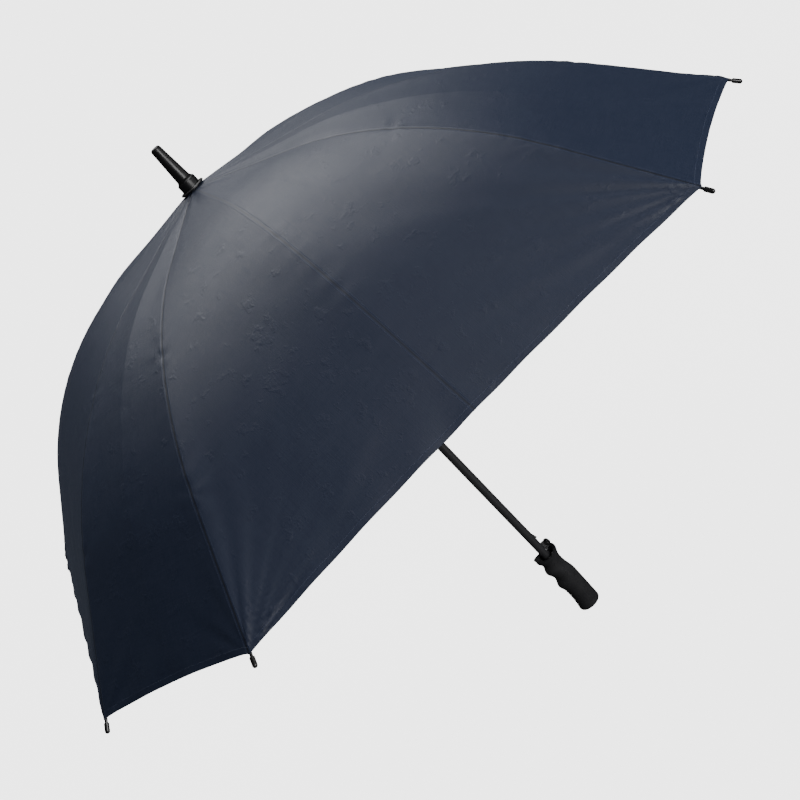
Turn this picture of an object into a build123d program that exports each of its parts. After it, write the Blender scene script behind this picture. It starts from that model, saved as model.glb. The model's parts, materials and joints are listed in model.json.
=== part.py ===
from build123d import *
from math import asin, cos, degrees, hypot, pi, radians, sin
import os

# Automatic golf umbrella, open. Millimetres. Origin at the middle of the handle's flat butt,
# +Z up the shaft to the tip of the ferrule. The eight ribs stand in four close pairs, so the
# canopy is a square with cut corners: four wide panels, which face +X, +Y, -X and -Y, and four
# narrow gores between them. The release button is on the +Y side of the handle.

# ---- overall
overall_length = 988.0
wide_half_angle = 33.0
gore_half_angle = 45.0 - wide_half_angle

# ---- ribs: the centreline is a straight run, one long arc and a straight run
rib_pivot_r = 14.0
rib_pivot_z = 905.5
rib_inner_run = 193.5
rib_arc_radius = 626.0
rib_outer_run = 172.0
slope_at_notch = radians(9.7)
slope_at_tip = radians(45.6)
channel_width = 4.4
channel_wall = 0.4
channel_top = 2.2
channel_bottom = -2.0
channel_start = 22.0
channel_end = 382.5
cheek_end = 388.0
rod_radius = 1.5
rod_tail = 3.0
flex_pin_at = 384.0
flex_pin_r = 0.8
blade_thickness = 1.6
blade_half_height = 1.8
blade_lap = 4.0
blade_step_back = 8.0
eye_radius = 2.2
through = 20.0

# ---- stretchers
stretcher_pin_at = 372.0
stretcher_pin_drop = 8.0
stretcher_pin_r = 1.0
stretcher_width = 3.0
stretcher_height = 4.0
stretcher_blade_end = 22.0
stretcher_channel_start = 14.0
stretcher_plug_length = 16.0
stretcher_blade_half_height = 1.7
rivet_head_extra = 0.8
rivet_head_t = 0.6
ear_radius = 2.6
ear_half_length = 9.0

# ---- wires that the ribs and the stretchers turn on
ring_wire_r = 0.6
ring_clearance = 0.08
pin_clearance = 0.05
slot_width = 2.4
slot_floor_r = 11.2

# ---- rib tips
tip_neck_r = 2.0
tip_head_r = 3.2
tip_neck_length = 11.0
tip_head_length = 13.0

# ---- shaft and ferrule
shaft_r = 7.0
shaft_wall = 0.8
shaft_bottom = 24.0
shaft_top = 935.0
flange_r = 20.0
flange_t = 3.0
flange_z = 911.0
collar_r = 14.5
collar_t = 13.0
spike_base_r = 11.0
spike_tip_r = 7.7
spike_round = 4.0
spike_foot_spread = 1.6
spike_foot_height = 3.0
notch_r = 17.5
notch_top = 907.6
notch_thickness = 10.0
notch_hub_r = 9.6
notch_hub_length = 14.0
washer_r = 11.5

# ---- runner, measured from the wire that the stretchers turn on
sleeve_bore_r = 7.3
sleeve_r = 9.3
sleeve_below = 26.0
sleeve_above = 9.0
runner_head_r = 17.5
runner_head_below = 3.5
runner_head_above = 3.0
window_bottom = -18.5
window_top = -4.5
window_width = 4.0
drive_pin_drop = 22.0
drive_pin_r = 1.0
closed_link_angle = radians(89.3)

# ---- canopy cloth, which lies this far above the ribs' centreline
cloth_gap = 3.6
cloth_thickness = 0.6
cloth_hole_r = 12.2
seam_gap = 0.2
wide_hem_rise = 7.0
gore_hem_rise = 11.0
wide_lift = 22.0
gore_lift = 5.0
cloth_spans = 12
strap_width = 18.0
strap_length = 150.0
strap_thickness = 1.6
stud_r = 5.5
stud_t = 1.5
strap_rib = 5
strap_at = 600.0

# ---- handle
butt_round = 6.0
cup_floor_z = 109.0
cup_floor_r = 12.0
cup_rim_r = 17.5
saddle_floor_z = 117.5
saddle_radius = 38.0
insert_r = 10.5
insert_floor_z = 20.0
plug_r = 11.0
plug_t = 3.5
# height, reach on the finger side (-Y), reach on the thumb side (+Y), half width along X
grip_sections = [
    (124.0, 20.9, 20.0, 20.0),
    (116.0, 20.2, 20.4, 19.2),
    (108.0, 16.6, 17.2, 17.2),
    (100.0, 17.7, 15.8, 16.6),
    (92.0, 20.4, 16.0, 16.6),
    (84.0, 17.6, 17.0, 17.0),
    (76.0, 15.6, 18.6, 17.4),
    (68.0, 17.9, 19.6, 17.8),
    (60.0, 20.3, 19.5, 18.0),
    (52.0, 17.9, 19.3, 18.0),
    (44.0, 16.9, 19.1, 17.9),
    (36.0, 16.8, 18.9, 17.8),
    (28.0, 17.1, 18.7, 17.7),
    (20.0, 17.8, 18.5, 17.7),
    (12.0, 19.0, 18.3, 17.8),
    (6.5, 20.0, 18.1, 18.0),
]

# ---- catches and the release lever, all in the plane x = 0
catch_thickness = 1.6
catch_root_y = 3.9
catch_leg_y = 5.6
catch_tip_y = 9.9
catch_ramp_y = 6.6
catch_ramp_root_y = 5.2
catch_length = 13.0
catch_slot = 2.4
catch_slot_play = 1.5
catch_play = 0.4
lever_top_z = 138.0
lever_pivot_y = 5.6
lever_pivot_z = 124.5
lever_thickness = 2.0
lever_slot = 3.4
lever_slot_low_z = 119.0
lever_slot_high_z = 140.0
lever_pin_r = 1.0
lever_pin_length = 9.4
knob_y = 15.4
knob_z = 132.0
knob_r = 4.8
knob_width = 10.0
knob_pin_r = 1.2
spring_y = -2.9
spring_r = 2.9
spring_wall = 0.8
plunger_length = 8.0

os.makedirs("parts", exist_ok=True)


def save(node, *solids):
    """Write one sub-part, which may be several separate solids."""
    flat = []
    for solid in solids:
        flat.extend(solid.solids())
    export_step(Compound(children=flat), f"parts/{node}.step")


def upright(radius, z_low, z_high, x=0.0, y=0.0):
    """A cylinder along Z between two heights."""
    return Pos(x, y, (z_low + z_high) / 2) * Cylinder(radius, z_high - z_low)


def pin_y(radius, length, x, z, y=0.0):
    """A cylinder along Y, centred at a point."""
    return Pos(x, y, z) * Rot(90, 0, 0) * Cylinder(radius, length)


def pin_x(radius, length, y, z, x=0.0):
    """A cylinder along X, centred at a point."""
    return Pos(x, y, z) * Rot(0, 90, 0) * Cylinder(radius, length)


def block(x, y, z):
    """A box given by its low and high limit on each axis."""
    size = (x[1] - x[0], y[1] - y[0], z[1] - z[0])
    middle = (sum(x) / 2, sum(y) / 2, sum(z) / 2)
    return Pos(*middle) * Box(*size)


def turned(points):
    """A solid of revolution about Z from its (radius, height) outline."""
    outline = Plane.XZ * make_face(Polyline(*points, close=True))
    return revolve(outline, Axis.Z)


# ---- the ribs' centreline, in the plane y = 0
arc_turn = slope_at_tip - slope_at_notch
arc_from = rib_inner_run
arc_to = rib_inner_run + rib_arc_radius * arc_turn
rib_length = arc_to + rib_outer_run


def rib_slope(s):
    """How steeply the rib falls at distance s from its pivot, in radians."""
    if s <= arc_from:
        return slope_at_notch
    if s >= arc_to:
        return slope_at_tip
    return slope_at_notch + (s - arc_from) / rib_arc_radius


def rib_point(s, out=0.0):
    """(radius, height) at distance s along the rib, moved out from the centreline."""
    slope = rib_slope(s)
    inner = min(s, arc_from)
    outer = max(s - arc_to, 0.0)
    radius = rib_pivot_r + inner * cos(slope_at_notch) + outer * cos(slope_at_tip)
    height = rib_pivot_z - inner * sin(slope_at_notch) - outer * sin(slope_at_tip)
    radius += rib_arc_radius * (sin(slope) - sin(slope_at_notch))
    height -= rib_arc_radius * (cos(slope_at_notch) - cos(slope))
    return radius + out * sin(slope), height + out * cos(slope)


def rib_edges(s_from, s_to, out=0.0):
    """The centreline, or a line parallel to it, as lines and an arc in the plane y = 0."""
    stops = [s_from] + [s for s in (arc_from, arc_to) if s_from < s < s_to] + [s_to]
    edges = []
    for low, high in zip(stops, stops[1:]):
        ends = [Vector(x, 0, z) for x, z in (rib_point(low, out), rib_point(high, out))]
        middle = (low + high) / 2
        if arc_from <= low and high <= arc_to:
            x, z = rib_point(middle, out)
            edges.append(Edge.make_three_point_arc(ends[0], Vector(x, 0, z), ends[1]))
        else:
            edges.append(Edge.make_line(*ends))
    return edges


def rib_band(s_from, s_to, low, high, width):
    """A bar that follows the rib between two offsets, centred on y = 0."""
    top = rib_edges(s_from, s_to, high)
    bottom = rib_edges(s_from, s_to, low)
    sides = []
    for s in (s_from, s_to):
        corners = [Vector(x, 0, z) for x, z in (rib_point(s, low), rib_point(s, high))]
        sides.append(Edge.make_line(*corners))
    face = Face(Wire(top + bottom + sides))
    return extrude(face, amount=width / 2, both=True)


# ---- where the linkage stands, open
pin_radius, pin_height = rib_point(stretcher_pin_at, -stretcher_pin_drop)
link_length = hypot(pin_radius - rib_pivot_r, rib_pivot_z - pin_height)
link_angle = asin((rib_pivot_z - pin_height) / link_length)
runner_z = rib_pivot_z - 2 * link_length * sin(link_angle)
runner_closed_z = rib_pivot_z - 2 * link_length * sin(closed_link_angle)
rib_angles = []
for quarter in range(4):
    rib_angles.append(90 * quarter + wide_half_angle)
    rib_angles.append(90 * (quarter + 1) - wide_half_angle)


def rib_inner():
    """Steel channel with a flattened eye at the notch, ears for the stretcher and two rivets."""
    half_gap = channel_width / 2 - channel_wall
    channel = rib_band(channel_start, cheek_end, channel_bottom, channel_top, channel_width)
    channel -= rib_band(
        channel_start - 1, cheek_end + 1, channel_bottom - 1, channel_top - channel_wall, 2 * half_gap
    )
    channel -= rib_band(
        channel_end, cheek_end + 1, channel_top - channel_wall - 0.1, channel_top + 1, channel_width + 1
    )
    lap = channel_start + blade_lap
    blade = rib_band(0.0, lap, -blade_half_height, blade_half_height, blade_thickness)
    blade += rib_band(channel_start - blade_step_back, lap, 1.5, channel_top - 0.1, blade_thickness)
    blade += pin_y(eye_radius, blade_thickness, rib_pivot_r, rib_pivot_z)
    ear_corners = [rib_point(stretcher_pin_at + d, -1.5) for d in (-ear_half_length, ear_half_length)]
    slope = rib_slope(stretcher_pin_at)
    for d in (ear_radius, -ear_radius):
        ear_corners.append((pin_radius + d * cos(slope), pin_height - d * sin(slope)))
    ear = extrude(
        make_face(Plane.XZ * Polyline(*ear_corners, close=True)), amount=channel_width / 2, both=True
    )
    ear += pin_y(ear_radius, channel_width, pin_radius, pin_height)
    ear -= pin_y(3 * ear_half_length, 2 * half_gap, pin_radius, pin_height)
    channel += blade
    channel += ear
    channel -= pin_y(ring_wire_r + ring_clearance, through, rib_pivot_r, rib_pivot_z)
    channel -= pin_y(stretcher_pin_r, through, pin_radius, pin_height)
    flex_x, flex_z = rib_point(flex_pin_at)
    channel -= pin_y(flex_pin_r, through, flex_x, flex_z)
    rivets = []
    for x, z, radius in ((pin_radius, pin_height, stretcher_pin_r), (flex_x, flex_z, flex_pin_r)):
        rivet = pin_y(radius, channel_width, x, z)
        for side in (-1, 1):
            y = side * (channel_width + rivet_head_t) / 2
            rivet += pin_y(radius + rivet_head_extra, rivet_head_t, x, z, y)
        rivets.append(rivet)
    return [channel] + rivets


def rib_outer():
    """Glass-fibre rod from inside the channel's cheeks to the rib's end."""
    start = flex_pin_at - rod_tail
    path = Wire(rib_edges(start, rib_length))
    x, z = rib_point(start)
    slope = rib_slope(start)
    end_plane = Plane(origin=(x, 0, z), x_dir=(0, 1, 0), z_dir=(cos(slope), 0, -sin(slope)))
    rod = sweep(end_plane * Circle(rod_radius), path=path)
    flex_x, flex_z = rib_point(flex_pin_at)
    return rod - pin_y(flex_pin_r + pin_clearance, through, flex_x, flex_z)


def rib_tip():
    """Moulded cap pushed over the rod's end: a thin neck under the cloth and a round head."""
    x, z = rib_point(rib_length)
    round_at = tip_head_length - tip_head_r
    cap = upright(tip_neck_r, -tip_neck_length, 0)
    cap += upright(tip_head_r, 0, round_at)
    cap += Pos(0, 0, round_at) * Sphere(tip_head_r)
    cap -= upright(rod_radius, -tip_neck_length, 0)
    return Pos(x, 0, z) * Rot(0, 90 + degrees(slope_at_tip), 0) * cap


def stretcher():
    """Steel channel from the runner's wire to the rib's ears, an eye at each end."""
    half_w = stretcher_width / 2
    half_h = stretcher_height / 2
    inner_w = half_w - channel_wall
    blade_w = blade_thickness / 2
    blade_h = (-stretcher_blade_half_height, stretcher_blade_half_height)
    start = stretcher_channel_start
    bar = block((start, link_length - 10), (-half_w, half_w), (-half_h, half_h))
    bar -= block((start - 1, link_length), (-inner_w, inner_w), (-half_h + channel_wall, half_h + 1))
    bar += block((0, stretcher_blade_end), (-blade_w, blade_w), blade_h)
    bar += pin_y(eye_radius, blade_thickness, 0, 0)
    bar += block((link_length - stretcher_plug_length, link_length), (-inner_w, inner_w), blade_h)
    bar += pin_y(eye_radius, 2 * inner_w, link_length, 0)
    bar -= pin_y(ring_wire_r + ring_clearance, through, 0, 0)
    bar -= pin_y(stretcher_pin_r + pin_clearance, through, link_length, 0)
    return Pos(rib_pivot_r, 0, runner_z) * Rot(0, -degrees(link_angle), 0) * bar


def cloth_seam(half_angle, lift, rise):
    """The edge of half a panel over its rib, and down the panel's middle, which stands out by lift."""
    start = -rib_pivot_r / 2
    over_rib = []
    down_middle = []
    for i in range(cloth_spans + 1):
        s = start + (rib_length - start) * i / cloth_spans
        r, z = rib_point(s)
        slope = rib_slope(s)
        out = lift * sin(pi * max(s, 0.0) / rib_length)
        height = z + cloth_gap + rise
        x = r * cos(radians(half_angle))
        over_rib.append(Vector(x, r * sin(radians(half_angle)), height))
        down_middle.append(Vector(x + out * sin(slope), seam_gap, height + out * cos(slope)))
    return over_rib, down_middle


def cloth_strip(half_angle, lift, hem_rise):
    """Half a panel, straight across from the rib to the panel's middle; its hem is hollowed."""
    sections = []
    low_edges = cloth_seam(half_angle, lift, 0.0)
    high_edges = cloth_seam(half_angle, lift, cloth_thickness)
    for low, high in zip(low_edges, high_edges):
        ends = [Edge.make_line(low[i], high[i]) for i in (0, -1)]
        sections.append(Face(Wire([Edge.make_spline(low), Edge.make_spline(high)] + ends)))
    strip = loft(sections, ruled=True)
    tip_r, _ = rib_point(rib_length)
    half_chord = tip_r * sin(radians(half_angle))
    hem_radius = (half_chord**2 + hem_rise**2) / (2 * hem_rise)
    middle = tip_r * cos(radians(half_angle)) - hem_rise + hem_radius
    strip -= upright(hem_radius, 0, overall_length, x=middle)
    return strip - upright(cloth_hole_r, 0, overall_length)


def closure_strap():
    """Woven tie strap laid down the outside of one seam, its snap button at the free end."""
    low = cloth_gap + cloth_thickness + 0.1
    end = strap_at + strap_length
    strap = rib_band(strap_at, end, low, low + strap_thickness, strap_width)
    x, z = rib_point(end - strap_width / 2, low + strap_thickness + stud_t / 2)
    stud = Pos(x, 0, z) * Rot(0, degrees(rib_slope(end)), 0) * Cylinder(stud_r, stud_t)
    return strap, stud


def ring(height):
    """The wire that eight eyes turn on."""
    return Pos(0, 0, height) * Torus(rib_pivot_r, ring_wire_r)


def slotted_head(body, height):
    """Cut the wire's tunnel and a radial slot for each rib into a head."""
    body -= Pos(0, 0, height) * Torus(rib_pivot_r, ring_wire_r + 0.02)
    for angle in rib_angles:
        reach = notch_r + 5
        tall = (height - reach, height + reach)
        cut = block((slot_floor_r, reach), (-slot_width / 2, slot_width / 2), tall)
        body -= Rot(0, 0, angle) * cut
    return body


def top_notch():
    """Moulded head pressed on the shaft, which holds the ribs' eyes."""
    low = notch_top - notch_thickness
    body = upright(notch_r, low, notch_top)
    body = slotted_head(body, rib_pivot_z)
    body += upright(notch_hub_r, low - notch_hub_length, low)
    return body - upright(shaft_r, 0, overall_length)


def runner():
    """Moulded slider: a slotted head for the stretchers on a sleeve with a window for the catches."""
    body = upright(runner_head_r, runner_z - runner_head_below, runner_z + runner_head_above)
    body = slotted_head(body, runner_z)
    body += upright(sleeve_r, runner_z - sleeve_below, runner_z + sleeve_above)
    body -= upright(sleeve_bore_r, 0, overall_length)
    half = window_width / 2
    window = (runner_z + window_bottom, runner_z + window_top)
    body -= block((-half, half), (0, 2 * runner_head_r), window)
    return body - pin_y(drive_pin_r, 30, 0, runner_z - drive_pin_drop, -15)


def shaft():
    """Steel tube with slots for the lever, for both catches and for the runner's drive pin."""
    tube = upright(shaft_r, shaft_bottom, shaft_top) - upright(shaft_r - shaft_wall, 0, overall_length)
    lower = runner_closed_z + window_bottom
    upper = runner_z + window_top
    wall = (shaft_r / 2, 2 * shaft_r)
    half = catch_slot / 2
    tube -= block((-half, half), wall, (lower - 0.5, lower + catch_length + catch_slot_play))
    tube -= block((-half, half), wall, (upper - catch_length - catch_slot_play, upper + 0.5))
    half = lever_slot / 2
    tube -= block((-half, half), wall, (lever_slot_low_z, lever_slot_high_z))
    half = drive_pin_r + catch_play
    low = runner_closed_z - drive_pin_drop - half - 0.5
    high = runner_z - drive_pin_drop + half + 0.5
    tube -= block((-half, half), (-wall[1], -wall[0]), (low, high))
    return tube - pin_x(lever_pin_r, through, lever_pivot_y, lever_pivot_z)


def side_plate(points, thickness):
    """A plate in the plane x = 0 from its (y, z) outline."""
    return extrude(make_face(Plane.YZ * Polyline(*points, close=True)), amount=thickness / 2, both=True)


def upper_catch(flat_z):
    """Sprung tooth that holds the runner up: square at flat_z, sloping back into the shaft below."""
    ramp_z = flat_z - catch_length
    outline = [
        (catch_root_y, flat_z), (catch_tip_y, flat_z), (catch_ramp_y, ramp_z), (catch_root_y, ramp_z),
    ]
    return side_plate(outline, catch_thickness)


def lower_catch(flat_z):
    """Tooth that holds the runner down, on a leg inside the shaft that stands on the release lever."""
    ramp_z = flat_z + catch_length
    outline = [
        (catch_root_y, lever_top_z), (catch_leg_y, lever_top_z), (catch_leg_y, flat_z),
        (catch_tip_y, flat_z), (catch_ramp_y, ramp_z), (catch_ramp_root_y, ramp_z),
        (catch_root_y, flat_z),
    ]
    return side_plate(outline, catch_thickness)


def release_lever():
    """Steel lever that turns on a pin through the shaft and carries the thumb knob."""
    outline = [
        (3.2, 121.8), (8.8, 122.0), (12.4, 124.9), (17.2, 129.6), (17.2, 133.6), (14.2, 135.4),
        (11.2, lever_top_z), (catch_root_y, lever_top_z), (3.0, 131.0),
    ]
    plate = side_plate(outline, lever_thickness)
    plate -= pin_x(lever_pin_r + pin_clearance, through, lever_pivot_y, lever_pivot_z)
    return plate - pin_x(knob_pin_r, through, knob_y, knob_z)


def release_button(lever):
    """Round thumb knob moulded round the end of the lever."""
    knob = pin_x(knob_r, knob_width, knob_y, knob_z)
    knob = fillet(knob.edges().filter_by(GeomType.CIRCLE), 0.8)
    return knob - lever - pin_x(knob_pin_r, through, knob_y, knob_z)


def handle_grip():
    """Moulded grip with finger grooves, a cup round the shaft and a rim that dips at the sides."""
    sections = []
    for z, finger, thumb, half_width in grip_sections:
        oval = Ellipse(half_width, (finger + thumb) / 2)
        sections.append(Pos(0, (thumb - finger) / 2, z) * oval)
    grip = loft(sections)
    foot = extrude(sections[-1], amount=-grip_sections[-1][0])
    foot = fillet(foot.edges().group_by(Axis.Z)[0], butt_round)
    grip += foot
    cup_height = grip_sections[0][0] - cup_floor_z + 1
    cup = Cone(cup_floor_r, cup_rim_r, cup_height)
    grip -= Pos(0, 0, cup_floor_z + cup_height / 2) * cup
    grip -= pin_x(saddle_radius, 60, 0, saddle_floor_z + saddle_radius)
    grip -= upright(insert_r, insert_floor_z, overall_length)
    return grip - upright(plug_r, -1, plug_t)


def handle_insert():
    """Sleeve that locks the shaft in the grip, with a floor that the opening spring stands on."""
    body = upright(insert_r, insert_floor_z, cup_floor_z)
    return body - upright(shaft_r, shaft_bottom, overall_length)


def ferrule_collar():
    """Flange that clamps the cloth, and the collar above it with its bevelled top."""
    top = flange_z + flange_t + collar_t
    points = [
        (shaft_r, flange_z), (flange_r - 0.8, flange_z), (flange_r, flange_z + 0.8),
        (flange_r, flange_z + flange_t - 1.0), (flange_r - 1.2, flange_z + flange_t),
        (collar_r, flange_z + flange_t), (collar_r, top - 1.6), (collar_r - 1.6, top), (shaft_r, top),
    ]
    return turned(points)


def ferrule_spike():
    """Tapered spike over the shaft's end."""
    base = flange_z + flange_t + collar_t
    taper = (spike_base_r - spike_tip_r) / (overall_length - base)
    body = Pos(0, 0, (base + overall_length) / 2) * Cone(spike_base_r, spike_tip_r, overall_length - base)
    body = fillet(body.edges().group_by(Axis.Z)[-1], spike_round)
    foot_top = base + spike_foot_height
    foot = turned([
        (shaft_r, base), (spike_base_r + spike_foot_spread, base),
        (spike_base_r - spike_foot_height * taper, foot_top), (shaft_r, foot_top),
    ])
    return body + foot - upright(shaft_r, 0, shaft_top)


# ---- build and write every sub-part
inner_solids = rib_inner()
rod = rib_outer()
cap = rib_tip()
link = stretcher()
wide_strip = cloth_strip(wide_half_angle, wide_lift, wide_hem_rise)
gore_strip = cloth_strip(gore_half_angle, gore_lift, gore_hem_rise)

for number, angle in enumerate(rib_angles, start=1):
    stand = Rot(0, 0, angle)
    save(f"rib_inner_{number}", *[stand * solid for solid in inner_solids])
    save(f"rib_outer_{number}", stand * rod)
    save(f"rib_tip_{number}", stand * cap)
    save(f"stretcher_{number}", stand * link)
    # odd ribs have a wide panel on their clockwise side, even ribs on the other
    wide_side = 1 if number % 2 else -1
    wide = wide_strip if wide_side == 1 else mirror(wide_strip, about=Plane.XZ)
    gore = mirror(gore_strip, about=Plane.XZ) if wide_side == 1 else gore_strip
    save(
        f"canopy_panel_{number}",
        Rot(0, 0, angle - wide_side * wide_half_angle) * wide,
        Rot(0, 0, angle + wide_side * gore_half_angle) * gore,
    )

save("shaft_tube", shaft())
save("top_notch", top_notch())
save("notch_wire", ring(rib_pivot_z))
save("canopy_washer", upright(washer_r, notch_top, flange_z) - upright(shaft_r, 0, overall_length))
save("ferrule_collar", ferrule_collar())
save("ferrule_spike", ferrule_spike())
save("runner", runner())
save("runner_wire", ring(runner_z))
save("handle_grip", handle_grip())
save("handle_insert", handle_insert())
save("handle_end_plug", upright(plug_r, 0, plug_t))
lower_flat = runner_closed_z + window_bottom + catch_play
save("lower_catch", lower_catch(lower_flat))
upper_flat = runner_z + window_top - catch_play
save("upper_catch", upper_catch(upper_flat))
lever = release_lever()
save("release_lever", lever)
save("release_button", release_button(lever))
save("button_pin", pin_x(knob_pin_r, knob_width + 0.8, knob_y, knob_z))
save("lever_pin", pin_x(lever_pin_r, lever_pin_length, lever_pivot_y, lever_pivot_z))

drive_z = runner_z - drive_pin_drop
plunger = upright(spring_r - 0.3, drive_z - plunger_length / 2, drive_z + plunger_length / 2, y=spring_y)
drive_pin = pin_y(drive_pin_r, sleeve_r + spring_y, 0, drive_z, (spring_y - sleeve_r) / 2)
save("spring_plunger", plunger + drive_pin)
spring_top = drive_z - plunger_length / 2
spring = upright(spring_r, shaft_bottom, spring_top, y=spring_y)
save("opening_spring", spring - upright(spring_r - spring_wall, 0, spring_top, y=spring_y))
strap, stud = closure_strap()
strap_turn = Rot(0, 0, rib_angles[strap_rib - 1])
save("closure_strap", strap_turn * strap, strap_turn * stud)
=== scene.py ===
import json
from math import atan2, cos, hypot, pi, radians, sin, tau

import bpy
import numpy as np
from mathutils import Matrix, Vector, noise


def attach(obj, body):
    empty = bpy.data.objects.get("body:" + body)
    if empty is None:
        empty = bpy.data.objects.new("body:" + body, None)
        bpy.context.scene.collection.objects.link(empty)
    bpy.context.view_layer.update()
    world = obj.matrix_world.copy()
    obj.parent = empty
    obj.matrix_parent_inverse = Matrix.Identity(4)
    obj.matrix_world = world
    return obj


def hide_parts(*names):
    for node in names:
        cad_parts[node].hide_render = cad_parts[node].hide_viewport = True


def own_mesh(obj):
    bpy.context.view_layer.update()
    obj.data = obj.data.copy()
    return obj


# Golf umbrella, open. Metres, in the row frame: origin at the butt, +Z up the shaft.
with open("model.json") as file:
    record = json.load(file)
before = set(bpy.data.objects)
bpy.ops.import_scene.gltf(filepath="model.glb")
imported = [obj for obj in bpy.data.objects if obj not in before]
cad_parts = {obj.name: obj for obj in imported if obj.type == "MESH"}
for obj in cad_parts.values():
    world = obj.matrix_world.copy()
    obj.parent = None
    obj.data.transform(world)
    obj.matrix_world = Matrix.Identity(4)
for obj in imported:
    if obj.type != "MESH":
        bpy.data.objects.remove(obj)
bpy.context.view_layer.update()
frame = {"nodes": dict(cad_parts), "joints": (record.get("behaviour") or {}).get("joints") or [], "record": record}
joints = {joint["name"]: joint for joint in frame["joints"]}

# ---- the ribs' centreline: a straight run, one long arc and a straight run, from the fold joint
fold_at = Vector(joints["rib_1_fold"]["pos_m"])
pivot_r = hypot(fold_at.x, fold_at.y)
pivot_z = fold_at.z
inner_run = 0.1935
arc_radius = 0.626
outer_run = 0.172
slope_in = radians(9.7)
slope_out = radians(45.6)
arc_to = inner_run + arc_radius * (slope_out - slope_in)
rib_length = arc_to + outer_run
rib_count = 8
rib_angles = [atan2(*joints[f"rib_{k}_fold"]["pos_m"][1::-1]) for k in range(1, rib_count + 1)]
flex_at = 0.384

# ---- panels: four wide ones and four corner gores, each drawn as two halves that meet on its middle
wide_half = radians(33.0)
gore_half = radians(12.0)
wide_columns = 52
gore_columns = 18
wide_hollow = 0.005
gore_hollow = 0.0055
# how far a panel's middle stands above its ribs; for the wide ones, by the rib before the panel
gore_lift = 0.005
wide_lifts = {1: 0.010, 3: 0.014, 5: 0.014, 7: 0.022}
roundness = 0.65

# ---- cloth: its outside stands above the ribs' centreline, and it is thicker in the seams and the hem
cloth_rise = 0.0042
cloth_thick = 0.0004
seam_extra = 0.0004
seam_width = 0.0040
hem_extra = 0.0007
hem_depth = 0.009
# the second column of points stands at a share of the seam's width, a seam takes at most a share of half a
# panel, and the columns between the seams crowd towards the rib
seam_fold_column = 0.6
widest_seam_share = 0.16
column_crowding = 1.2
# threads, stitches, and the places along a rib where the cloth is tied to it
thread_pitch = 0.0009
stitch_pitch = 0.0026
seam_stitches_at = 0.0032
hem_stitches_at = 0.0078
tie_points = (0.362, 0.560)

# ---- rows of points from the ferrule to the hem, with one row on the flex pin and four in the hem
first_s = -0.003
row_step = 0.0052
cloth_length = rib_length - first_s
plain_length = cloth_length - hem_depth
hem_step = 0.0008
hem_rows = np.array([hem_depth - hem_step, hem_depth * 0.5, 0.0012, 0.0])
rows_v = np.concatenate([
    np.linspace(0, 1, int(plain_length / row_step) + 1) * plain_length / cloth_length,
    1 - hem_rows / cloth_length,
])
flex_row = int(np.argmin(abs(first_s + cloth_length * rows_v - flex_at)))

# ---- closure strap and its snap stud, on the outside of one rib's seam
strap_rib = 4
strap_from = 0.600
strap_to = 0.749
strap_width = 0.018
strap_thick = 0.0011
strap_rise = 0.0056
stud_outline = [(0.0056, 0.0), (0.0056, 0.0006), (0.0050, 0.0011), (0.0040, 0.0012), (0.0036, 0.0009),
                (0.0022, 0.0009), (0.0020, 0.0019), (0.0012, 0.0023)]
stud_rise = 0.0068
stud_from_end = 0.009

# ---- materials: colour, roughness, grain per metre, grain depth, clear coat
plastics = {
    "grip_plastic": ((0.0250, 0.0250, 0.0270), 0.28, 2600.0, 0.00003, 0.0),
    "moulded_black": ((0.0075, 0.0075, 0.0080), 0.45, 2000.0, 0.00004, 0.0),
    "ferrule_plastic": ((0.0060, 0.0060, 0.0065), 0.36, 500.0, 0.00001, 0.0),
    "tip_plastic": ((0.0055, 0.0055, 0.0060), 0.28, 900.0, 0.00002, 0.2),
    "button_plastic": ((0.0060, 0.0060, 0.0065), 0.30, 1500.0, 0.00002, 0.0),
    "rib_fibre": ((0.0100, 0.0100, 0.0105), 0.38, 3000.0, 0.00002, 0.0),
}
# colour, roughness, metallic, drawing lines per metre along each axis
metals = {
    "shaft_paint": ((0.0420, 0.0420, 0.0450), 0.34, 0.0, (900, 900, 30)),
    "rib_steel": ((0.0120, 0.0120, 0.0130), 0.36, 0.0, (500, 500, 500)),
    "lever_steel": ((0.46, 0.46, 0.47), 0.26, 1.0, (900, 60, 900)),
    "wire_steel": ((0.42, 0.42, 0.43), 0.30, 1.0, (300, 300, 300)),
    "pin_steel": ((0.62, 0.62, 0.63), 0.16, 1.0, (200, 200, 200)),
}
# the threads' two shades
cloths = {
    "canopy_cloth": ((0.0092, 0.0150, 0.0375), (0.0130, 0.0205, 0.0480)),
    "strap_cloth": ((0.0060, 0.0120, 0.0380), (0.0090, 0.0170, 0.0480)),
}

# ---- camera and studio
camera_place = (1.9959, -0.1988, 1.1246)
camera_right = (0.286172, 0.695287, -0.659315)
camera_down = (0.151933, -0.712305, -0.685221)
camera_forward = (-0.946054, 0.095924, -0.309474)
camera_lens = 62.95
sensor_width = 36.0
# place, target, diameter, watts
lights = {
    "back": ((-1.8, 0.55, 3.8), (0, 0, 0.8), 2.8, 88),
    "top": ((-0.4, 0.8, 3.9), (0, 0, 0.8), 2.2, 44),
    "fill": ((2.9, 1.1, 1.1), (0, 0, 0.6), 1.8, 66),
    "side": ((1.0, 3.1, 0.4), (0, 0, 0.3), 1.4, 8),
}
world_strength = 0.02
# the floor turns up into a wall all round: radius and height of each ring
floor_rings = [(0.0, 0.0), (3.0, 0.0), (4.2, 0.35), (5.0, 1.2), (5.3, 2.4), (5.3, 7.0)]
floor_segments = 64
floor_grey = 0.12
floor_glow = 3.6


# ================================================================ shape of the canopy

def rib_slope(s):
    return slope_in + np.clip(s - inner_run, 0, arc_to - inner_run) / arc_radius


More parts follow.
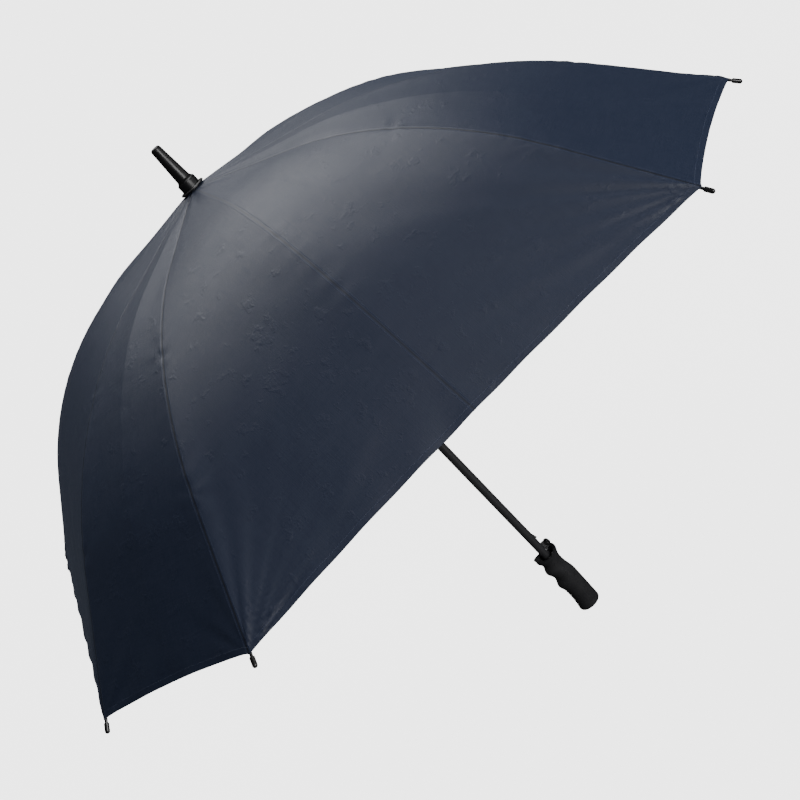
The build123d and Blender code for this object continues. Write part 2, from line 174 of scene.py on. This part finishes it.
def rib_point(s, out=0.0):
    """(radius, height) at distance s along the rib, out from its centreline."""
    s = np.asarray(s, float)
    slope = rib_slope(s)
    inner = np.minimum(s, inner_run)
    outer = np.maximum(s - arc_to, 0.0)
    radius = pivot_r + inner * cos(slope_in) + outer * cos(slope_out)
    height = pivot_z - inner * sin(slope_in) - outer * sin(slope_out)
    radius = radius + arc_radius * (np.sin(slope) - sin(slope_in))
    height = height - arc_radius * (cos(slope_in) - np.cos(slope))
    return radius + out * np.sin(slope), height + out * np.cos(slope)


def panel_point(s, t, half, lift):
    """Across, along and height in a panel's own frame: t = 0 on the rib, 1 on the panel's middle."""
    r, z = rib_point(s)
    slope = rib_slope(s)
    out = lift * np.sin(pi * np.clip(s / rib_length, 0, 1))
    middle_x = r * cos(half) + out * np.sin(slope)
    middle_z = z + out * np.cos(slope)
    swell = (1 - roundness) * t + roundness * t * (2 - t)
    x = r * cos(half) + swell * (middle_x - r * cos(half))
    y = (1 - t) * r * sin(half)
    return x, y, z + swell * (middle_z - z) + cloth_rise


def hem_s(t, half, lift, hollow):
    """Where the hem, an arc from tip to tip with its middle drawn in by hollow, crosses the line t."""
    tip_r, _ = rib_point(rib_length)
    chord = tip_r * sin(half)
    radius = (chord**2 + hollow**2) / (2 * hollow)
    centre = tip_r * cos(half) - hollow + radius
    low = rib_length - 3 * hollow
    high = rib_length + 0.001
    halvings = 40
    for _ in range(halvings):
        middle = (low + high) / 2
        x, y, _ = panel_point(middle, t, half, lift)
        if hypot(x - centre, y) > radius:
            low = middle
        else:
            high = middle
    return min(high, rib_length)


def column_t(column, count, half_width):
    """Share of the way from rib to middle at each row; the end columns follow the seams' folds."""
    edge = np.minimum(seam_width / half_width, widest_seam_share)
    if column < 2:
        return column * seam_fold_column * edge
    if column > count - 2:
        return 1 - (count - column) * seam_fold_column * edge
    return edge + (1 - 2 * edge) * ((column - 2) / (count - 4)) ** column_crowding


def wave(s, seed, pitch):
    """A ripple along s whose pitch and strength wander; the same for one seed every time."""
    wander = 0.5
    values = []
    for value in s:
        drift = noise.noise(Vector((value / (4 * pitch), seed * 3.7, 1.3)))
        strength = 0.55 + 0.9 * abs(noise.noise(Vector((value / (3 * pitch), seed * 5.1, 7.7))))
        values.append(strength * sin(tau * (value / pitch + wander * drift) + seed * 1.9))
    return np.array(values)


def smooth(x):
    x = np.clip(x, 0, 1)
    return x * x * (3 - 2 * x)


def fade(distance, reach):
    return np.exp(-distance / reach)


def near(distance, reach):
    return np.exp(-(distance / reach) ** 2)


class Line:
    """A line of cloth from the ferrule to the hem: column 0 on the rib, the last on the panel's middle."""

    def __init__(self, rib, side, column, wide):
        self.rib = rib
        self.side = side
        self.wide = wide
        self.middle = rib if side > 0 else (rib - 1) % rib_count
        half, lift, hollow = gore_half, gore_lift, gore_hollow
        if wide:
            half, lift, hollow = wide_half, wide_lifts[self.middle], wide_hollow
        count = wide_columns if wide else gore_columns
        end_s = hem_s(column / count, half, lift, hollow)
        self.s = np.interp(rows_v, [0, rows_v[flex_row], 1], [first_s, flex_at, end_s])
        half_width = rib_point(self.s)[0] * sin(half)
        t = column_t(column, count, half_width)
        self.across = t * half_width
        self.from_middle = (1 - t) * half_width
        self.hem_gap = end_s - self.s
        self.seam_gap = np.minimum(self.across, self.from_middle) if wide else self.across
        x, y, z = panel_point(self.s, t, half, lift)
        centre = rib_angles[rib] + side * half
        place_x = x * cos(centre) + side * y * sin(centre)
        place_y = x * sin(centre) - side * y * cos(centre)
        self.places = np.stack([place_x, place_y, z], 1)
        self.azimuth = np.arctan2(place_y, place_x)
        slope = rib_slope(self.s)
        normal_x = np.sin(slope) * np.cos(self.azimuth)
        normal_y = np.sin(slope) * np.sin(self.azimuth)
        normal = np.stack([normal_x, normal_y, np.cos(slope)], 1)
        out = sum(relief(self) for relief in reliefs)
        seam = np.maximum(1 - self.seam_gap / seam_width, 0)
        thick = cloth_thick + seam_extra * seam + hem_extra * (self.hem_gap < hem_depth - hem_step / 2)
        no_seam = 0.0 if wide else 1.0
        self.outer = self.places + normal * out[:, None]
        self.inner = self.places + normal * (out - thick)[:, None]
        self.weave = np.stack([side * self.from_middle, self.s], 1)
        self.seams = np.stack([self.across, self.from_middle + no_seam, self.hem_gap], 1)


# ---------------------------------------------------------------- how far the cloth stands out, in metres

def rib_puckers(line):
    """The stitching draws small puckers into the seam on the rib, more of them at the ties."""
    height = 0.00035
    pitch = 0.027
    reach = 0.012
    tie_reach = 0.035
    near_tie = sum(near(line.s - tie, tie_reach) for tie in tie_points)
    ripple = wave(line.s, line.rib + 1, pitch)
    return height * (0.3 + near_tie) * fade(line.across, reach) * ripple * smooth(line.s / 0.06)


def middle_puckers(line):
    """The seam down the middle of a panel puckers in patches, away from the ferrule."""
    height = 0.0006 if line.wide else 0.0002
    pitch = 0.031
    reach = 0.014
    starts_at = 0.22
    patches = [abs(noise.noise(Vector((value * 11.0, line.middle + 0.5, 2.2)))) for value in line.s]
    patchy = 0.25 + 2.2 * np.array(patches)
    ripple = wave(line.s, 20 + line.middle, pitch)
    return height * patchy * fade(line.from_middle, reach) * ripple * smooth((line.s - starts_at) / 0.25)


def tie_creases(line):
    """The cloth is tied down to the rib here and there, and creases star out from each tie."""
    dimple_depth = 0.0007
    dimple_reach = 0.008
    crease_height = 0.0007
    crease_reach = 0.022
    out = np.zeros_like(line.s)
    for index, tie in enumerate(tie_points):
        along = line.s - tie
        distance = np.hypot(along, line.across) + 1e-6
        angle = np.arctan2(line.across, along)
        out -= dimple_depth * near(distance, dimple_reach)
        turn = 2.3 * line.rib + 0.8 * line.side * smooth(line.across / 0.02)
        rays = np.cos(angle * (5 + index % 2) + turn)
        lively = 0.3 + 1.2 * abs(noise.noise(Vector((line.rib * 1.7, line.side * 2.3, index + 0.5))))
        out += crease_height * lively * rays * fade(distance, crease_reach) * smooth(distance / 0.010)
    return out


def corner_folds(line):
    """Drag folds fan into the panel from the rib's end; beside a wide panel's rib one stands taller."""
    height = 0.0015 if line.wide else 0.0007
    reach = 0.15 if line.wide else 0.08
    count = 21 if line.wide else 11
    distance = np.hypot(rib_length - line.s, line.across) + 1e-6
    angle = np.arctan2(line.across, rib_length - line.s)
    strengths = [noise.noise(Vector((turn * 3.1, line.rib * 1.3 + 0.4 * line.side, gap * 4.0)))
                 for turn, gap in zip(angle, distance)]
    fan = np.cos(count * angle + 1.7 * line.rib + 0.5 * np.sin(distance * 31 + line.rib))
    fan *= 0.25 + 2.0 * abs(np.array(strengths))
    fan *= smooth(distance / 0.035) * smooth(line.across / 0.006) * smooth((pi / 2 - angle) / 0.25)
    out = height * fan * fade(distance, reach)
    if line.wide:
        tall_height = 0.0042
        tall_reach = 0.050
        tall_width = 0.13
        tall_angle = 0.30 + 0.05 * sin(2.1 * line.rib)
        tall = near(angle - tall_angle, tall_width) * fade(distance, tall_reach)
        out += tall_height * tall * smooth(distance / 0.018)
    return out


def ferrule_folds(line):
    """Shallow folds run out from under the ferrule."""
    height = 0.0004
    count = 20
    reach = 0.045
    return height * np.cos(count * line.azimuth + 1.1) * near(line.s - reach, reach)


def seam_groove(line):
    """The stitching sinks a groove along each seam, deeper on the rib than on the middle."""
    width = 0.0015
    depth = np.where(line.across < line.from_middle, 0.0006, 0.0003)
    return -depth * near(line.seam_gap, width)


def slack_hem(line):
    """The hem is a little slack between the tips."""
    height = 0.0012 if line.wide else 0.0008
    pitch = 0.085
    reach = 0.035
    ripple = wave(line.across + 0.001 * line.s, 40 + line.middle, pitch)
    return height * ripple * fade(line.hem_gap, reach) * smooth(line.across / 0.05)


def uneven_panel(line):
    """Broad unevenness between the ribs, and a slight hollow between rib and middle seam."""
    broad_height = 0.0018
    small_height = 0.0004
    hollow = 0.0020 if line.wide else 0.0008
    share = line.across / (line.across + line.from_middle + 1e-6)
    broad = np.array([noise.noise(Vector(place) * 6.5 + Vector((3.1, 0.4, 8.8))) for place in line.places])
    small = np.array([noise.noise(Vector(place) * 19.0) for place in line.places])
    out = (broad_height * broad + small_height * small) * smooth(share * 3) * smooth(line.s / 0.15)
    return out - hollow * np.sin(pi * share) * np.sin(pi * np.clip(line.s / rib_length, 0, 1))


reliefs = (rib_puckers, middle_puckers, tie_creases, corner_folds, ferrule_folds, seam_groove, slack_hem,
           uneven_panel)


# ================================================================ meshes

def surface_normals(points):
    """Normals of a closed ring of columns, from the neighbours on each side."""
    around = np.roll(points, -1, 0) - np.roll(points, 1, 0)
    down = np.gradient(points, axis=1)
    normals = np.cross(down, around)
    return normals / np.linalg.norm(normals, axis=2, keepdims=True)


def shell(name, outer, inner, outer_normals, inner_normals, weave, seams):
    """A closed mesh of cloth from two grids of points, columns by rows."""
    columns, rows = outer.shape[:2]
    total = columns * rows
    index = np.arange(total).reshape(columns, rows)
    quads = np.stack([index[:-1, :-1], index[:-1, 1:], index[1:, 1:], index[1:, :-1]], 2).reshape(-1, 4)
    rim = np.concatenate([index[:, 0], index[-1, 1:], index[-2::-1, -1], index[0, -2:0:-1]])
    after = np.roll(rim, -1)
    walls = np.stack([rim, after, after + total, rim + total], 1)
    mesh = bpy.data.meshes.new(name)
    faces = np.concatenate([quads, quads[:, ::-1] + total, walls])
    mesh.from_pydata(np.concatenate([outer, inner]).reshape(-1, 3).tolist(), [], faces.tolist())
    layer = mesh.uv_layers.new(name="weave")
    corners = np.array([corner.vertex_index for corner in mesh.loops]) % total
    layer.data.foreach_set("uv", weave.reshape(-1, 2)[corners].ravel().astype(np.float32))
    kept = mesh.attributes.new("seams", "FLOAT_VECTOR", "POINT")
    kept.data.foreach_set("vector", np.tile(seams.reshape(-1, 3), (2, 1)).ravel().astype(np.float32))
    mesh.polygons.foreach_set("use_smooth", [True] * len(mesh.polygons))
    normals = np.concatenate([outer_normals.reshape(-1, 3), -inner_normals.reshape(-1, 3)])
    mesh.normals_split_custom_set_from_vertices(normals.tolist())
    mesh.update()
    return mesh


def ribbon(name, rib, s_from, s_to, width, low, thickness):
    """A woven band that follows a rib, a little crowned, with a bound edge and a folded end."""
    mesh = bpy.data.meshes.new(name)
    steps, across = 60, 12
    crown_height = 0.0004
    edge_round = 0.0022
    end_round = 0.004
    thinned = 0.35
    points, faces, threads = [], [], []
    angle = rib_angles[rib]
    for layer in (1, 0):
        for i in range(steps + 1):
            s = s_from + (s_to - s_from) * i / steps
            ripple = 0.0006 * sin(tau * s / 0.037) + 0.0004 * sin(tau * s / 0.023)
            for j in range(across + 1):
                y = width * (j / across - 0.5)
                edge = smooth(1 - (width / 2 - abs(y)) / edge_round)
                end = smooth(1 - min(s - s_from, s_to - s) / end_round)
                crown = crown_height * (1 - (2 * y / width) ** 2)
                out = low + crown + ripple + layer * thickness * float(1 - thinned * max(edge, end))
                r, z = rib_point(s, out)
                points.append((r * cos(angle) - y * sin(angle), r * sin(angle) + y * cos(angle), float(z)))
                threads.append((y, s))
    stride = across + 1
    total = (steps + 1) * stride
    for i in range(steps):
        for j in range(across):
            corner = i * stride + j
            top = (corner, corner + stride, corner + stride + 1, corner + 1)
            faces.append(top)
            faces.append(tuple(index + total for index in reversed(top)))
    rim = list(range(across)) + [i * stride + across for i in range(steps)]
    rim += [steps * stride + j for j in range(across, 0, -1)] + [i * stride for i in range(steps, 0, -1)]
    for here, after in zip(rim, rim[1:] + rim[:1]):
        faces.append((here, after, after + total, here + total))
    mesh.from_pydata(points, [], faces)
    layer = mesh.uv_layers.new(name="weave")
    for corner in mesh.loops:
        layer.data[corner.index].uv = threads[corner.vertex_index]
    shade_smooth(mesh)
    return mesh


def turned(name, outline, segments=40):
    """A solid of revolution about Z from its (radius, height) outline, closed on the axis."""
    mesh = bpy.data.meshes.new(name)
    points = [(0, 0, outline[0][1])]
    faces = []
    for radius, height in outline:
        points.extend((radius * cos(tau * i / segments), radius * sin(tau * i / segments), height)
                      for i in range(segments))
    points.append((0, 0, outline[-1][1]))
    last = 1 + (len(outline) - 1) * segments
    for i in range(segments):
        after = (i + 1) % segments
        faces.append((0, 1 + after, 1 + i))
        for low in range(1, last, segments):
            high = low + segments
            faces.append((low + i, low + after, high + after, high + i))
        faces.append((last + i, last + after, len(points) - 1))
    mesh.from_pydata(points, [], faces)
    shade_smooth(mesh)
    return mesh


def cyclorama(name, rings, segments):
    """A round floor whose rim turns up into a wall, open at the top."""
    mesh = bpy.data.meshes.new(name)
    points = []
    faces = []
    for radius, height in rings:
        for index in range(segments):
            angle = tau * index / segments
            points.append((radius * cos(angle), radius * sin(angle), height))
    for level in range(len(rings) - 1):
        for index in range(segments):
            low = level * segments + index
            beside = level * segments + (index + 1) % segments
            faces.append((low, beside, beside + segments, low + segments))
    mesh.from_pydata(points, [], faces)
    mesh.validate()
    shade_smooth(mesh)
    return mesh


def shade_smooth(mesh):
    for face in mesh.polygons:
        face.use_smooth = True


def show(name, data):
    """A new object of the scene that holds the data."""
    thing = bpy.data.objects.new(name, data)
    bpy.context.scene.collection.objects.link(thing)
    return thing


def add(name, mesh, body, slot):
    """A piece of the visual model that rides on a body and has a slot's material."""
    thing = show(name, mesh)
    thing.data.materials.append(finish[slot])
    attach(thing, body)
    return thing


# ================================================================ materials

def node_group(material):
    material.use_nodes = True
    tree = material.node_tree
    return tree, tree.nodes["Principled BSDF"]


def object_place(tree):
    return tree.nodes.new("ShaderNodeTexCoord").outputs["Object"]


def split(tree, vector):
    node = tree.nodes.new("ShaderNodeSeparateXYZ")
    tree.links.new(vector, node.inputs[0])
    return node.outputs


def scaled(tree, vector, scale):
    node = tree.nodes.new("ShaderNodeMapping")
    node.inputs["Scale"].default_value = scale
    tree.links.new(vector, node.inputs["Vector"])
    return node.outputs[0]


def math_node(tree, operation, *values):
    node = tree.nodes.new("ShaderNodeMath")
    node.operation = operation
    for socket, value in zip(node.inputs, values):
        if isinstance(value, (int, float)):
            socket.default_value = value
        else:
            tree.links.new(value, socket)
    return node.outputs[0]


def threads_wave(tree, value, pitch):
    """A sine along a coordinate, one turn for each pitch."""
    return math_node(tree, "SINE", math_node(tree, "MULTIPLY", value, tau / pitch))


def weighted(tree, first, first_share, second, second_share):
    """The sum of two values, each times its share."""
    first = math_node(tree, "MULTIPLY", first, first_share)
    return math_node(tree, "ADD", first, math_node(tree, "MULTIPLY", second, second_share))


def blend_colour(tree, factor, first, second):
    node = tree.nodes.new("ShaderNodeMix")
    node.data_type = "RGBA"
    tree.links.new(factor, node.inputs[0])
    for socket, value in ((node.inputs[6], first), (node.inputs[7], second)):
        if isinstance(value, tuple):
            socket.default_value = (*value, 1)
        else:
            tree.links.new(value, socket)
    return node.outputs[2]


def noise_node(tree, where, scale, detail=3.0, roughness=0.55):
    node = tree.nodes.new("ShaderNodeTexNoise")
    node.inputs["Scale"].default_value = scale
    node.inputs["Detail"].default_value = detail
    node.inputs["Roughness"].default_value = roughness
    tree.links.new(where, node.inputs["Vector"])
    return node.outputs["Fac"]


def map_range(tree, value, low, high, to_low, to_high):
    node = tree.nodes.new("ShaderNodeMapRange")
    node.inputs["From Min"].default_value = low
    node.inputs["From Max"].default_value = high
    node.inputs["To Min"].default_value = to_low
    node.inputs["To Max"].default_value = to_high
    tree.links.new(value, node.inputs["Value"])
    return node.outputs["Result"]


def bump(tree, height, distance, strength, before=None):
    node = tree.nodes.new("ShaderNodeBump")
    node.inputs["Distance"].default_value = distance
    node.inputs["Strength"].default_value = strength
    tree.links.new(height, node.inputs["Height"])
    if before:
        tree.links.new(before, node.inputs["Normal"])
    return node.outputs["Normal"]


def stitch_row(tree, gap, line, along):
    """A row of stitches at a distance from an edge, as a mask."""
    half_thread = 0.0002
    gap_level = -0.3
    off = math_node(tree, "ABSOLUTE", math_node(tree, "SUBTRACT", gap, line))
    row = map_range(tree, off, half_thread, 2 * half_thread, 1.0, 0.0)
    dash = math_node(tree, "GREATER_THAN", threads_wave(tree, along, stitch_pitch), gap_level)
    return math_node(tree, "MULTIPLY", row, dash)


def cloth_material(name, base, light):
    """Tightly woven polyester satin: fine weave, faint streaks along the threads, stitched seams."""
    material = bpy.data.materials.new(name)
    tree, shader = node_group(material)
    threads = tree.nodes.new("ShaderNodeUVMap")
    threads.uv_map = "weave"
    place = object_place(tree)
    u, v, _ = split(tree, threads.outputs[0])
    warp = threads_wave(tree, u, thread_pitch)
    weft = threads_wave(tree, v, thread_pitch)
    weave = math_node(tree, "MULTIPLY", warp, weft)
    # single threads differ a little, which shows as short streaks both ways
    streaks = [noise_node(tree, scaled(tree, threads.outputs[0], scale), 1.0, 2.0)
               for scale in ((900, 25, 1), (25, 900, 1))]
    streak = math_node(tree, "ADD", *streaks)
    grain = noise_node(tree, place, 700.0, 2.0)
    blotch = noise_node(tree, place, 7.0, 4.0)
    shade = weighted(tree, map_range(tree, streak, 0.7, 1.3, 0.0, 1.0), 0.6, blotch, 0.4)
    colour = blend_colour(tree, shade, base, light)
    # painted shade darkens the fold at each seam, and a row of stitches runs beside it and above the hem's fold
    kept = tree.nodes.new("ShaderNodeAttribute")
    kept.attribute_name = "seams"
    rib_gap, middle_gap, hem_gap = split(tree, kept.outputs["Vector"])
    rib_seam_shade = map_range(tree, rib_gap, 0.0004, 0.0015, 1.0, 0.0)
    middle_seam_shade = map_range(tree, middle_gap, 0.0002, 0.0010, 0.8, 0.0)
    groove = math_node(tree, "MAXIMUM", rib_seam_shade, middle_seam_shade)
    # the seams' folds take painted shade: the cloth's colour darkened to a quarter
    colour = blend_colour(tree, groove, colour, tuple(0.25 * part for part in base))
    seam_gap = math_node(tree, "MINIMUM", rib_gap, middle_gap)
    seam_stitches = stitch_row(tree, seam_gap, seam_stitches_at, v)
    hem_stitches = stitch_row(tree, hem_gap, hem_stitches_at, u)
    stitches = math_node(tree, "MAXIMUM", seam_stitches, hem_stitches)
    colour = blend_colour(tree, stitches, colour, tuple(1.6 * part for part in light))
    tree.links.new(colour, shader.inputs["Base Color"])
    along_threads = map_range(tree, streak, 0.7, 1.3, 0.47, 0.59)
    in_grain = map_range(tree, grain, 0.3, 0.7, -0.03, 0.03)
    roughness = math_node(tree, "ADD", along_threads, in_grain)
    tree.links.new(roughness, shader.inputs["Roughness"])
    # small dents and nicks where the cloth has been folded
    dents = map_range(tree, noise_node(tree, place, 42.0, 4.0, 0.62), 0.58, 0.70, 0.0, 1.0)
    normal = bump(tree, weave, 0.00006, 0.35)
    normal = bump(tree, streak, 0.0003, 0.25, normal)
    normal = bump(tree, stitches, 0.0003, 0.8, normal)
    normal = bump(tree, dents, 0.0005, 0.45, normal)
    tree.links.new(normal, shader.inputs["Normal"])
    shader.inputs["Specular IOR Level"].default_value = 0.5
    shader.inputs["Sheen Weight"].default_value = 0.06
    shader.inputs["Sheen Roughness"].default_value = 0.45
    shader.inputs["Sheen Tint"].default_value = (0.50, 0.64, 0.90, 1)
    return material


def plastic_material(name, base, rough, grain_scale, grain_depth, coat):
    """Moulded plastic with a fine spark-eroded grain and rubbed patches."""
    material = bpy.data.materials.new(name)
    tree, shader = node_group(material)
    place = object_place(tree)
    grain = noise_node(tree, place, grain_scale, 2.0)
    rubbed = noise_node(tree, place, 60.0, 4.0)
    colour = blend_colour(tree, rubbed, base, tuple(1.5 * part + 0.002 for part in base))
    tree.links.new(colour, shader.inputs["Base Color"])
    roughness = map_range(tree, rubbed, 0.3, 0.7, rough - 0.05, rough + 0.07)
    tree.links.new(roughness, shader.inputs["Roughness"])
    tree.links.new(bump(tree, grain, grain_depth, 0.5), shader.inputs["Normal"])
    shader.inputs["Coat Weight"].default_value = coat
    shader.inputs["Coat Roughness"].default_value = 0.12
    return material


def metal_material(name, base, rough, metallic, stretch):
    """Bare or painted metal with fine drawing lines along one direction and small stains."""
    material = bpy.data.materials.new(name)
    tree, shader = node_group(material)
    place = object_place(tree)
    lines = noise_node(tree, scaled(tree, place, stretch), 1.0, 3.0)
    stains = noise_node(tree, place, 45.0, 5.0)
    colour = blend_colour(tree, stains, base, tuple(0.75 * part for part in base))
    tree.links.new(colour, shader.inputs["Base Color"])
    worn = weighted(tree, lines, 0.5, stains, 0.5)
    roughness = map_range(tree, worn, 0.3, 0.7, rough - 0.07, rough + 0.10)
    tree.links.new(roughness, shader.inputs["Roughness"])
    tree.links.new(bump(tree, lines, 0.00005, 0.5), shader.inputs["Normal"])
    shader.inputs["Metallic"].default_value = metallic
    return material


def floor_material(name, grey, glow):
    """Matt paint that glows to the camera alone, so it is pale in view and casts no light."""
    material = bpy.data.materials.new(name)
    tree, shader = node_group(material)
    shader.inputs["Base Color"].default_value = (grey, grey, grey, 1)
    shader.inputs["Roughness"].default_value = 0.9
    shader.inputs["Emission Color"].default_value = (1, 1, 1, 1)
    seen = tree.nodes.new("ShaderNodeLightPath").outputs["Is Camera Ray"]
    tree.links.new(map_range(tree, seen, 0.0, 1.0, 0.0, glow), shader.inputs["Emission Strength"])
    return material


finish = {name: plastic_material(name, *values) for name, values in plastics.items()}
finish |= {name: metal_material(name, *values) for name, values in metals.items()}
finish |= {name: cloth_material(name, *values) for name, values in cloths.items()}
for part in frame["record"]["subparts"]:
    node = frame["nodes"][part["node"]]
    node.data.materials.clear()
    node.data.materials.append(finish[part["material_slot"]])


# ================================================================ canopy


def gather(piece):
    """Give half a panel its own copy of its mesh."""
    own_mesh(piece)


# half panels go round the ring in order, each in two pieces that meet where the rib's rod is hinged
half_panels = [(rib, side, (rib % 2 == 0) != (side > 0)) for rib in range(rib_count) for side in (-1, 1)]
lines = []
first_line = {}
for rib, side, wide in half_panels:
    count = wide_columns if wide else gore_columns
    order = range(count, 0, -1) if side < 0 else range(count)
    first_line[rib, side] = len(lines)
    lines.extend(Line(rib, side, column, wide) for column in order)
ring = {key: np.array([getattr(line, key) for line in lines])
        for key in ("outer", "inner", "seams", "weave")}
outer_normals = surface_normals(ring["outer"])
inner_normals = surface_normals(ring["inner"])
for rib, side, wide in half_panels:
    count = wide_columns if wide else gore_columns
    start = first_line[rib, side]
    wanted = np.arange(start, start + count + 1) % len(lines)
    for part, rows, body in (
        ("inner", slice(0, flex_row + 1), f"rib_{rib + 1}"),
        ("outer", slice(flex_row, None), f"rib_{rib + 1}_rod"),
    ):
        outer = ring["outer"][wanted][:, rows]
        weave = ring["weave"][wanted][:, rows]
        if side < 0:
            weave[-1, :, 0] = 0.0
        name = f"cloth_{rib + 1}_{'left' if side > 0 else 'right'}_{part}"
        mesh = shell(name, outer, ring["inner"][wanted][:, rows], outer_normals[wanted][:, rows],
                     inner_normals[wanted][:, rows], weave, ring["seams"][wanted][:, rows])
        piece = add(name, mesh, body, "canopy_cloth")
        if side > 0:
            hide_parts(f"canopy_panel_{rib + 1}")
        gather(piece)


# ================================================================ closure strap

band = ribbon("closure_strap_band", strap_rib, strap_from, strap_to, strap_width, strap_rise, strap_thick)
strap_body = f"rib_{strap_rib + 1}_rod"
strap = add("closure_strap_band", band, strap_body, "strap_cloth")
stud = add("closure_strap_stud", turned("closure_strap_stud", stud_outline), strap_body, "pin_steel")
stud_s = strap_to - stud_from_end
stud_r, stud_z = rib_point(stud_s, stud_rise)
stud_lean = Matrix.Rotation(float(rib_slope(stud_s)), 4, "Y")
stud_turn = Matrix.Rotation(rib_angles[strap_rib], 4, "Z")
stud.data.transform(stud_turn @ Matrix.Translation((stud_r, 0, stud_z)) @ stud_lean)
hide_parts("closure_strap")


# ================================================================ floor, light and camera

def area_light(name, place, target, size, power):
    data = bpy.data.lights.new(name, "AREA")
    data.shape = "DISK"
    data.size = size
    data.energy = power
    light = show(name, data)
    light.location = place
    light.rotation_euler = (Vector(target) - Vector(place)).to_track_quat("-Z", "Y").to_euler()
    light.visible_camera = False


camera_data = bpy.data.cameras.new("camera")
camera_data.sensor_width = sensor_width
camera_data.lens = camera_lens
camera = show("camera", camera_data)
camera_up = -Vector(camera_down)
camera_turn = Matrix((camera_right, camera_up, -Vector(camera_forward))).transposed()
camera.matrix_world = Matrix.Translation(camera_place) @ camera_turn.to_4x4()
bpy.context.scene.camera = camera

floor = show("floor", cyclorama("floor", floor_rings, floor_segments))
floor.data.materials.append(floor_material("floor", floor_grey, floor_glow))

world = bpy.data.worlds.new("studio")
bpy.context.scene.world = world
world.use_nodes = True
background = world.node_tree.nodes["Background"]
background.inputs["Color"].default_value = (1, 1, 1, 1)
background.inputs["Strength"].default_value = world_strength

for name, values in lights.items():
    area_light(name, *values)
